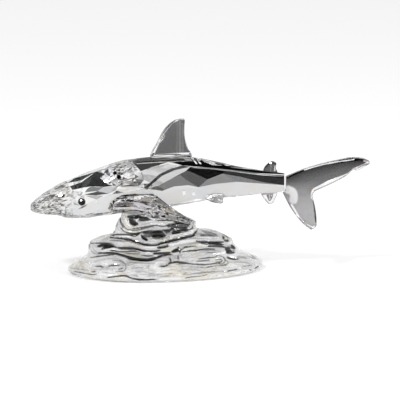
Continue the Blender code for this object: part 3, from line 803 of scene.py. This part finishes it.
# Pelvic fins
# Two little clear fins glued under the belly. A grey outline along the rim and a grey loop a little inside it
# are painted shade, for how the fins' edges refract the room.
PELVIC_SPREAD = 1.25
PELVIC_EDGE, PELVIC_RIM = 0.35, 0.25
PELVIC_LOOP, PELVIC_LOOP_WIDTH = 0.9, 0.15
clear_glass = glass_with_painted_light("clear_crystal", 4 * MM, (0.95, 0.97, 1.0), (1.0, 0.98, 0.93))
for node in ("pelvic_fin_left", "pelvic_fin_right"):
    shape = cut_piece(node)
    outline = outline_of(shape)
    refine(shape, PELVIC_EDGE)
    root = Vector((np.mean([v.co.x for v in shape.verts]), 0, max(v.co.z for v in shape.verts)))
    spots, up = side_places(shape)
    away = rim_distance(spots, outline)
    for vertex in shape.verts:
        vertex.co.x = root.x + PELVIC_SPREAD * (vertex.co.x - root.x)
        vertex.co.z = root.z + PELVIC_SPREAD * (vertex.co.z - root.z)
    # painted grey loop and rim outline
    tones = np.where(np.abs(away - PELVIC_LOOP) < PELVIC_LOOP_WIDTH, 0.7, 0.97)
    tones = np.where(away < PELVIC_RIM, 0.6, tones)
    lay_coat_and_painted_light(shape.verts.layers, shape.verts, tones)
    finished("crystal_" + node, shape, clear_glass, replaced=node)


# Pectoral fins
# Thick side fins of clear crystal, cut with many small facets. Each facet and each short cut gets a random
# painted tone, and long dark and white cuts are painted over them as for the flat fins: painted reflection,
# refraction and highlights of the facets. The warm tints over the fins are painted too, for the light the
# facets split into colours.
PECTORAL_LINES = (
    (0.85, 0.7, (-16.6, 34.1, -12.2, 33.2, -6.3, 31.6)),
    (0.85, 1.0, (-14.8, 33.8, -10.4, 32.6)),
    (0.85, 0.6, (-24.1, 31, -16, 31.5, -8.5, 29.5)),
    (0.65, 0.7, (-18.8, 29, -14.8, 29.3, -10.4, 28.8)),
    (0.3, 0.25, (-19.8, 29.6, -14.8, 30.4, -9.1, 29.6)),
    (0.2, 0.3, (-20.4, 27.9, -15.4, 27.7, -8.5, 28.4)),
    (0.55, 0.7, (-23.5, 33.2, -15.1, 33.8)),
    (0.25, 0.3, (-24.8, 32.2, -16.6, 32.2)),
    (0.15, 0.35, (-21.9, 34.9, -14.8, 35.4)),
    (0.3, 0.8, (-21.9, 37.6, -16.6, 38.1, -13.5, 38.2, -10.4, 38.5, -7.2, 38.7, -5.1, 37.7)),
    (0.7, 0.6, (-11.9, 35.4, -5.4, 36.3)),
    (0.45, 0.5, (-11.9, 34.3, -7.2, 34.1)),
    (0.6, 0.4, (-9.8, 37, -4.8, 36)),
    (0.58, 1.2, (-3.2, 35.4, 1.5, 33.2)),
    (0.3, 0.3, (-4.1, 37.4, 2.8, 32.9)),
    (1.0, 0.25, (-19.8, 36, -18.5, 34.1, -19.3, 34.8)),
    (1.0, 0.25, (-15.4, 35.7, -10.4, 37.3)),
    (0.72, 1.0, (0.9, 30.4, 5.2, 29.1)),
    (0.4, 0.25, (0.6, 29.5, 5.2, 28.2)),
    (0.62, 0.9, (1.5, 27, 6.5, 26.3)),
    (1.0, 0.5, (2.8, 32, 10.9, 27)),
    (0.55, 0.4, (5.2, 30.1, 11.5, 26.3)),
    (0.25, 0.35, (0.2, 25.6, 6.8, 24.6, 12.4, 23.2)),
)
# Random painted tones of the short cuts and the facets, standing in for their sparkle and refraction
SMALL_CUTS = 60
CUT_TONES = (1.0, 1.0, 0.9, 0.7, 0.35, 0.12)
FACET_TONES = (0.2, 0.55, 0.75, 0.92, 1.0, 1.0)
FACET_EDGE, CUT_EDGE = 2.6, 0.45
FACET_PUSH = (-0.16, 0.02)
small_cuts = []
for cut in range(SMALL_CUTS):
    x = chance.uniform(-25, 11)
    up = 34.5 - 0.27 * (x + 22) + chance.uniform(-4.5, 4.5)
    turn, length = math.radians(chance.gauss(-18, 20)), chance.uniform(0.9, 2.1)
    dx, dy = length * math.cos(turn), length * math.sin(turn)
    small_cuts.append((chance.choice(CUT_TONES), chance.uniform(0.3, 0.6),
                       (x - dx, up - dy, x, up, x + dx, up + dy)))
# cool and warm tints painted for the light the facets split into colours
pectoral_glass = glass_with_painted_light("pectoral_crystal", 3.5 * MM, (0.90, 0.82, 0.92), (1.0, 0.86, 0.68))
for node in ("pectoral_fin_left", "pectoral_fin_right"):
    shape = cut_piece(node)
    refine(shape, FACET_EDGE)
    shape.normal_update()
    for vertex in shape.verts:
        vertex.co += vertex.normal * chance.uniform(*FACET_PUSH) * MM
    painted_facet_sparkle = shape.faces.layers.float.new("painted_facet_sparkle")
    for face in shape.faces:
        face[painted_facet_sparkle] = chance.choice(FACET_TONES)
    refine(shape, CUT_EDGE)
    centres = np.array([face.calc_center_median() for face in shape.faces]) / MM
    up = centres[:, 2] * SEEN_RISE - np.abs(centres[:, 1]) * SEEN_DEPTH
    tones = np.array([face[painted_facet_sparkle] for face in shape.faces])
    tones = drawn(tones, centres[:, 0], up, small_cuts, taper=1.0)
    tones = drawn(tones, centres[:, 0], up, PECTORAL_LINES, taper=0.7, softness=0.25)
    lay_coat_and_painted_light(shape.faces.layers, shape.faces, tones)
    finished("crystal_" + node, shape, pectoral_glass, replaced=node)


# Base
# Pressed crystal rock, stepped in ledges that water has worn into flowing ribs. Each rib is raised or sunk a
# little and painted dark or white, painted shade and painted highlights for how the ribs refract and reflect
# the room, with a faint painted grey echo beside each. The ribs run alike on the front and the back, and are
# laid
# out as seen from a little above: along the base and up it, in millimetres.
FLOW_LINES = (
    # the upper rock: tone, half width and points of each rib
    (0.93, 1, (-22, 14.2, -16, 13.5, -10, 12.1, -4, 11.7)),
    (0.26, 1.2, (-18, 27.2, -12, 26.9, -7, 26.3)),
    (0.23, 1.6, (-17, 25.6, -15.5, 24, -13.8, 23.8)),
    (0.38, 0.8, (-12.6, 25.4, -10, 25.7, -7, 25.8)),
    (1, 0.33, (-12, 23.8, -14, 25.2, -12.8, 26)),
    (1, 0.72, (-20.2, 27.2, -19, 25.5, -18, 23.6, -16.5, 22.2, -14.5, 21.9)),
    (0.92, 0.8, (-15, 21.8, -12, 22.5, -9, 23.8, -5, 24.2)),
    (1, 0.8, (-9, 24, -3, 24.2, 2, 24.4, 5, 24.3)),
    (0.47, 0.33, (-24.8, 27, -25.1, 23, -25, 19)),
    (0.42, 0.45, (-22.2, 27.8, -21.8, 24.5, -20.6, 21.8)),
    (0.65, 0.33, (-23.5, 25.4, -23.8, 21.8)),
    (0.51, 0.33, (-20.8, 23.6, -19.5, 21.4, -17, 20.3, -14, 20.2, -11, 21, -8, 21.8, -5, 22)),
    (0.38, 0.39, (-16, 21.1, -12, 21.6, -8, 22.3, -4, 22.8, -1, 22.4, 4, 22.9)),
    (1, 0.52, (-20.5, 20.8, -17, 19.5, -13, 19.6, -9, 20.6, -6, 21.4)),
    (0.42, 0.39, (-22, 21.5, -19.5, 19.4, -16, 18.8, -13, 18.9, -9, 19.9, -5, 20.3)),
    (0.3, 0.39, (-4, 25.2, 0, 25.4, 4, 25.2, 8, 24.7, 12, 24.2)),
    (0.95, 0.52, (-7.5, 26.6, -5.5, 26, -4, 24.8)),
    (0.42, 1, (2, 22.2, 7, 22.5, 12, 22.6)),
    (0.21, 0.65, (1, 22.8, 4, 23.5, 7, 24.1, 10, 24, 13, 23.3)),
    (0.26, 2, (-6.5, 18.2, -3, 18.4, 0.5, 18.6)),
    (0.3, 0.9, (-10.5, 19, -6, 19.3)),
    (0.47, 0.8, (-10.5, 17.4, -8, 17.6, -6.5, 17.5)),
    (0.42, 1.1, (0, 19.8, 3, 20, 5.5, 19.6)),
    (0.8, 0.26, (-0.5, 19.6, 1.8, 18, 4, 20.2)),
    (0.21, 0.39, (-0.8, 20.8, 2, 19.6, 4.4, 20.9)),
    (0.07, 0.65, (3.5, 21.2, 8, 21.5, 11.8, 21.3)),
    (0.1, 0.72, (4, 18.8, 8, 19.9, 12, 20.5)),
    (1, 0.59, (11.8, 21.1, 13.4, 22, 13.4, 23.2)),
    (0.17, 0.45, (13.9, 22.4, 13.9, 20.9, 12, 20.5)),
    (1, 0.45, (15.2, 22.6, 14.8, 20.8, 12.5, 19.9)),
    (1, 0.85, (-8.5, 15, -4, 15, 0, 15.5, 3, 16.7, 7, 17.8, 11, 18.7, 14.5, 19.6)),
    (0.1, 0.65, (-3, 13.9, 0, 14.5, 3, 15.3, 6, 16, 10, 17, 14, 17.9, 16.2, 20)),
    (0.21, 0.59, (-26.5, 18.1, -20, 18, -15, 17.9, -12.5, 18.5)),
    (0.15, 0.59, (-27, 16.9, -22, 16.7, -18, 16, -14, 15, -11, 13.8, -8, 13.3, -5, 13.3, -2, 13.7)),
    (1, 0.45, (-25, 17.4, -18, 17.3, -15, 16.7)),
    (0.1, 0.72, (-11.5, 17.7, -10, 16.5, -8.3, 15.5)),
    (0.51, 0.26, (-27, 15.4, -20, 15.2, -15, 14.2, -12, 13)),
    # the middle ledge, to the left and then to the right
    (0.51, 0.39, (-38, 16.2, -36.5, 17.5, -32, 17.8, -27, 18)),
    (0.34, 0.39, (-38.5, 13.9, -35, 14, -30, 14.1, -26, 13.9)),
    (0.21, 0.8, (-33, 12.6, -30, 13.1, -25, 12.9)),
    (0.04, 0.8, (-31, 11.2, -28, 12.3, -24.5, 12.4)),
    (0.24, 0.59, (-25, 12.5, -23, 11.8, -18, 11.9, -14, 11.4, -10, 10.4, -6, 10.1, -2, 10.6)),
    (1, 0.65, (-31, 9.8, -28, 10.3, -25.5, 11.2, -22.5, 10.8)),
    (0.13, 0.45, (-26.8, 10.4, -23.5, 9.9)),
    (0.38, 0.45, (-24, 9.7, -20, 9.6, -15, 9.9, -12, 9.5)),
    (0.51, 0.33, (-22, 10.7, -18, 10.9, -14, 10.4)),
    (0.42, 0.33, (-19, 8.7, -15, 8.5, -12, 8.6)),
    (1, 0.6, (-9, 11.7, -3, 12)),
    (1, 0.6, (-9, 9.3, -6.5, 9.1)),
    (0.19, 0.65, (-33, 8.8, -28, 8.9, -24, 8.6, -20, 7.5, -16, 6.4, -12, 5.9, -8, 5.7, -4, 6.6, 0, 7.8,
                  4, 8.3)),
    (0.38, 0.33, (-37, 6.8, -32, 7.4, -28, 7.9, -24, 8.2)),
    (0.15, 0.35, (-11.4, 8, -8.5, 7.5, -5.5, 7.6)),
    (0.09, 0.75, (-5.2, 8.7, -2, 8.9, 3, 9.3)),
    (1, 0.45, (-5, 7.7, -3.4, 7.8)),
    (0.3, 0.65, (-3.5, 11.9, 0, 12.4, 3.4, 13.5)),
    (0.06, 1.1, (4, 9.8, 6, 10.5, 7.8, 11)),
    (0.09, 0.52, (7, 12.2, 8, 9)),
    (0.65, 0.26, (-37.6, 12, -36, 9.5, -34.3, 8.4)),
    (0.7, 0.26, (-36, 12.8, -34.8, 10.6, -33.4, 9.4)),
    (0.7, 0.26, (-34.8, 13, -33.4, 11.4)),
    (0.35, 0.5, (17, 20.2, 22, 20.1, 27, 19.7, 31, 18)),
    (0.47, 0.7, (18, 17.8, 22, 17.9, 26.5, 17.6)),
    (1, 0.72, (2.3, 13.2, 5, 13.8, 9, 14.8, 13, 15.4, 18, 16, 22, 15.9, 27.5, 16.2)),
    (0.09, 1, (29, 17.4, 30.6, 16.6)),
    (0.13, 0.6, (30, 15.4, 32, 15)),
    (1, 0.33, (30.2, 15.9, 31.8, 16.9)),
    (0.17, 0.52, (16, 15, 20, 14.7, 25, 14.6, 29.5, 14.6)),
    (0.26, 0.52, (18, 13.7, 21.5, 13.4)),
    (0.1, 0.72, (22, 13.9, 26, 13.8, 29.5, 13.1)),
    (0.17, 0.59, (22, 12.4, 26, 12.3, 30.5, 11.8)),
    (1, 0.45, (10, 12, 13, 12.7, 17, 13.1, 21.5, 12.8)),
    (0.21, 0.39, (8.5, 10.9, 10, 12.1, 13, 12.4, 15.8, 12.1)),
    (1, 0.45, (10, 10.5, 12, 11.4, 15.5, 11.8)),
    (0.26, 0.45, (9, 9.6, 13, 10.1, 16, 10.3, 20, 10.9, 25, 10.8)),
    (0.3, 1.6, (31, 11, 33.8, 10.2)),
    (0.24, 0.8, (33.6, 12.8, 35.2, 11.2)),
    (0.38, 0.7, (31, 9.3, 35, 9.3)),
    (1, 0.39, (31.5, 13.4, 33.5, 14)),
    (1, 0.33, (33.2, 11, 34.2, 10.3)),
    # the foot, to the left and then to the right
    (0.7, 0.26, (-35, 4.6, -30, 6, -24, 6.4, -20, 5)),
    (0.2, 0.35, (-27.5, 3, -25, 3.4, -22, 3.2)),
    (0.39, 0.35, (-34.3, 2.5, -32, 2.7, -30, 2.3)),
    (0.59, 0.2, (-32, 2.1, -28, 2.3, -25, 2.9)),
    (0.7, 0.26, (-36, 0.8, -30, 1.3, -24, 1.2)),
    (0.54, 0.26, (-26, 5.7, -22, 5.3, -19.6, 4, -18.8, 2, -19.6, 0.2)),
    (0.7, 0.2, (-24, 4.5, -21, 4, -20, 2.7)),
    (0.39, 0.3, (-22.6, 1.3, -20, 2)),
    (0.54, 0.3, (-24, 0.1, -20, 0.3)),
    (0.22, 0.46, (-28, -3, -24, -2.4, -21, -1.8, -18.5, -2, -16.5, -3, -14, -3.7, -10, -4, -4, -3.8)),
    (0.44, 0.3, (-45, -0.1, -40, -0.8, -36, -1.5, -33.5, -1.2)),
    (0.48, 0.35, (-36, 0, -34, 0)),
    (0.7, 0.33, (-47, 1.6, -43, 1.1, -38, 0.5)),
    (0.7, 0.26, (-43, 6.4, -41.2, 3, -40, 0.6)),
    (0.75, 0.26, (-41, 7.2, -38.6, 4.4)),
    (0.59, 0.26, (-17, 4.7, -12, 4.2, -5, 4)),
    (0.7, 0.26, (-16, 0.2, -13, -0.2, -10, 0, -6, -0.6)),
    (0.7, 0.26, (-16.5, 1.4, -13, 2, -9, 1.7)),
    (0.7, 0.26, (-8.2, 3, -6.8, 1.2, -5, 0.4)),
    (0.7, 0.26, (-12, -1.4, -6, -1.1, -1, -1.3)),
    (0.34, 0.45, (7, 7.6, 7, 6)),
    (0.3, 0.41, (2.4, 6.4, 3.4, 5.3, 2, 4)),
    (0.3, 0.46, (-2, 2.8, 0.2, 2.8, 2, 3.6)),
    (0.28, 0.51, (2, 3.8, 5, 4.8, 7.5, 4.7, 11, 4.2, 14, 3.8)),
    (1, 0.39, (7.4, 7.4, 8.4, 5.8, 11, 5)),
    (0.41, 0.35, (6, 3.8, 10, 4, 15, 3.7, 20, 3.5, 25, 3.9, 28, 3.9)),
    (0.42, 0.33, (17, 6.2, 20, 6.6, 24, 7, 27.5, 7.8)),
    (0.44, 0.3, (16, 5.1, 19, 5.3, 22.5, 5.7)),
    (0.34, 0.3, (25.5, 4.5, 28, 4.8, 28.9, 5.3, 28, 5.9, 25.5, 5.8)),
    (0.48, 0.26, (26, 7.9, 29, 7.2, 30.3, 5.8, 29.6, 4.2, 27.5, 3.6)),
    (0.41, 0.26, (30.5, 5.8, 31.7, 4.7, 31, 3.4, 28, 3, 24, 2.6, 20, 2, 16, 2.3)),
    (0.51, 0.26, (21, 9.1, 26, 9)),
    (0.7, 0.26, (19, 10.2, 24, 10.3, 28, 9.8)),
    (0.34, 0.52, (31.2, 7.2, 33, 6.3, 37, 6)),
    (0.72, 0.8, (36.5, 7, 41, 6.5)),
    (0.7, 0.3, (32, 4.4, 38, 4.4, 43, 3.7)),
    (0.24, 0.3, (31.2, 0.1, 34, 0.7, 36.5, 1)),
    (0.59, 0.26, (39, 2.2, 44, 2.8)),
    (0.34, 0.41, (45.4, 1.1, 47.2, 2.2)),
    (0.48, 0.3, (42.3, 0.8, 43.6, 0.2)),
    (0.59, 0.26, (42, 7.2, 46, 5.6)),
    (0.48, 0.26, (10, -3.3, 14, -2.6, 18, -2.3, 21.5, -1.5)),
    (0.59, 0.26, (12, -1.2, 18, -0.7, 23, -0.2, 30, 0)),
    (0.7, 0.26, (-3, -2.3, 3, -2.2)),
    (0.7, 0.26, (9, 1.3, 15, 0.8, 19.5, 0.1)),
    (0.7, 0.26, (0, 0.4, 5, 0.9, 9, 0)),
    (0.7, 0.2, (2, 2.2, 8, 2.6, 14, 2.4, 20, 1.7)),
    # the rims, where the glass turns away, with painted shade along them
    (0.5, 0.3, (-36.8, 16.8, -37.4, 13.8, -37.6, 11)),
    (0.63, 0.27, (-49.2, 2.8, -49, 0.8, -47, -0.8, -43, -2)),
    (0.63, 0.27, (49.2, 3.8, 49.3, 1.8, 47.5, 0.2, 44, -1.4)),
    (0.7, 0.25, (-40, -2.8, -28, -4.5, -10, -5.4, 8, -5.4, 26, -4.5, 40, -2.6)),
    (0.55, 0.3, (-24.6, 28, -26, 24, -26.4, 20, -27, 18.4)),
)
RIB_DEPTH = 1.2
RIPPLE_HEIGHT, RIPPLE_SPACING, RIPPLE_DRIFT = 0.08 * MM, 0.12, 26 * MM
FOOT_HEIGHT = 2.5 * MM
GRID_CUTS, SMOOTHINGS = 6, 6
LEVEL_TONE, DARKEST_RIB = 0.7, 0.05
RIBS_FROM = 1.5
BASE_CLEARNESS = 0.55


def worn_ripples(piece, finish, height, spacing, drift, foot):
    """Geometry nodes that wear fine ripples into a mesh above its foot, and note where each one lies."""
    group = bpy.data.node_groups.new("worn_ripples", "GeometryNodeTree")
    group.interface.new_socket("Geometry", in_out="INPUT", socket_type="NodeSocketGeometry")
    values = {}
    sizes = (("Ripple height", height), ("Spacing", spacing), ("Drift size", drift), ("Foot", foot))
    for label, value in sizes:
        socket = group.interface.new_socket(label, in_out="INPUT", socket_type="NodeSocketFloat")
        values[socket.identifier] = value
    socket = group.interface.new_socket("Finish", in_out="INPUT", socket_type="NodeSocketMaterial")
    values[socket.identifier] = finish
    group.interface.new_socket("Geometry", in_out="OUTPUT", socket_type="NodeSocketGeometry")
    link = group.links.new

    def worked(place, operation, *inputs):
        """The result of a sum on numbers or outputs."""
        node = node_in(group, "ShaderNodeMath", place, operation=operation)
        for socket, value in zip(node.inputs, inputs):
            if isinstance(value, (int, float)):
                socket.default_value = value
            else:
                link(value, socket)
        return node.outputs[0]

    entry = node_in(group, "NodeGroupInput", (0, 0)).outputs
    where = node_in(group, "GeometryNodeInputPosition", (0, 3)).outputs[0]
    split = node_in(group, "ShaderNodeSeparateXYZ", (1, 2))
    link(where, split.inputs[0])
    flow = node_in(group, "ShaderNodeVectorMath", (1, 3), operation="MULTIPLY")
    flow.inputs[1].default_value = (1.0, 2.2, 3.0)
    link(where, flow.inputs[0])
    noise = node_in(group, "ShaderNodeTexNoise", (2, 3))
    noise.inputs["Detail"].default_value = 1.0
    link(flow.outputs[0], noise.inputs["Vector"])
    link(worked((1, 4), "DIVIDE", 1.0, entry["Drift size"]), noise.inputs["Scale"])
    level = worked((3, 3), "DIVIDE", noise.outputs[0], entry["Spacing"])
    wave = worked((5, 3), "SINE", worked((4, 3), "MULTIPLY", level, 2 * math.pi))
    above = node_in(group, "ShaderNodeMapRange", (3, 2))
    link(split.outputs["Z"], above.inputs["Value"])
    link(entry["Foot"], above.inputs["From Max"])
    tall = worked((5, 2), "MULTIPLY", above.outputs[0], entry["Ripple height"])
    rise = worked((6, 3), "MULTIPLY", wave, tall)
    push = node_in(group, "ShaderNodeVectorMath", (7, 3), operation="SCALE")
    link(node_in(group, "GeometryNodeInputNormal", (6, 4)).outputs[0], push.inputs[0])
    link(rise, push.inputs["Scale"])
    note = node_in(group, "GeometryNodeStoreNamedAttribute", (8, 0), data_type="FLOAT", domain="POINT")
    note.inputs["Name"].default_value = "ripple"
    link(entry["Geometry"], note.inputs["Geometry"])
    link(worked((7, 2), "MULTIPLY", wave, above.outputs[0]), note.inputs["Value"])
    move = node_in(group, "GeometryNodeSetPosition", (9, 0))
    link(note.outputs[0], move.inputs["Geometry"])
    link(push.outputs[0], move.inputs["Offset"])
    solid = node_in(group, "GeometryNodeRealizeInstances", (10, 0))
    link(move.outputs[0], solid.inputs[0])
    dressed = node_in(group, "GeometryNodeSetMaterial", (11, 0))
    link(solid.outputs[0], dressed.inputs["Geometry"])
    link(entry["Finish"], dressed.inputs["Material"])
    link(dressed.outputs[0], node_in(group, "NodeGroupOutput", (12, 0)).inputs[0])
    step = piece.modifiers.new("ripples", "NODES")
    step.node_group = group
    for identifier, value in values.items():
        step[identifier] = value


base_glass = glass_with_painted_light("pressed_crystal", 9 * MM, (0.99, 0.97, 1.0), (1.0, 0.95, 0.84))
shape = cut_piece("wave_base")
bmesh.ops.join_triangles(shape, faces=shape.faces, angle_face_threshold=3.1, angle_shape_threshold=3.1)
bmesh.ops.subdivide_edges(shape, edges=shape.edges, cuts=GRID_CUTS, use_grid_fill=True)
for turn in range(SMOOTHINGS):
    bmesh.ops.smooth_vert(shape, verts=[v for v in shape.verts if v.co.z > 0.01 * MM], factor=0.5,
                          use_axis_x=True, use_axis_y=True, use_axis_z=True)
shape.normal_update()
shape.verts.ensure_lookup_table()
spots, up = side_places(shape)
ground = np.interp(spots[:, 2], (6, 10, 18, 22), (0.96, 0.93, 0.93, 0.96))
# painted shade and highlights along the ribs, with faint painted grey echoes
tones = drawn(ground, spots[:, 0], up, FLOW_LINES, taper=0.5, softness=0.6, echo=0.25)
level = np.full(len(spots), LEVEL_TONE)
rise = drawn(level, spots[:, 0], up, FLOW_LINES, taper=0.6, softness=1.0) - LEVEL_TONE
rise[spots[:, 2] < RIBS_FROM] = 0
tones[spots[:, 2] < 0.01] = 1.0
normals = [vertex.normal.copy() for vertex in shape.verts]
for vertex, push, normal in zip(shape.verts, rise, normals):
    vertex.co += normal * push * RIB_DEPTH * MM
lay_coat_and_painted_light(shape.verts.layers, shape.verts, np.clip(tones, DARKEST_RIB, 1), BASE_CLEARNESS)
for face in shape.faces:
    face.smooth = True
finished("crystal_wave_base", shape, base_glass, replaced="wave_base",
         wear=lambda piece: worn_ripples(piece, base_glass, RIPPLE_HEIGHT, RIPPLE_SPACING, RIPPLE_DRIFT,
                                         FOOT_HEIGHT))
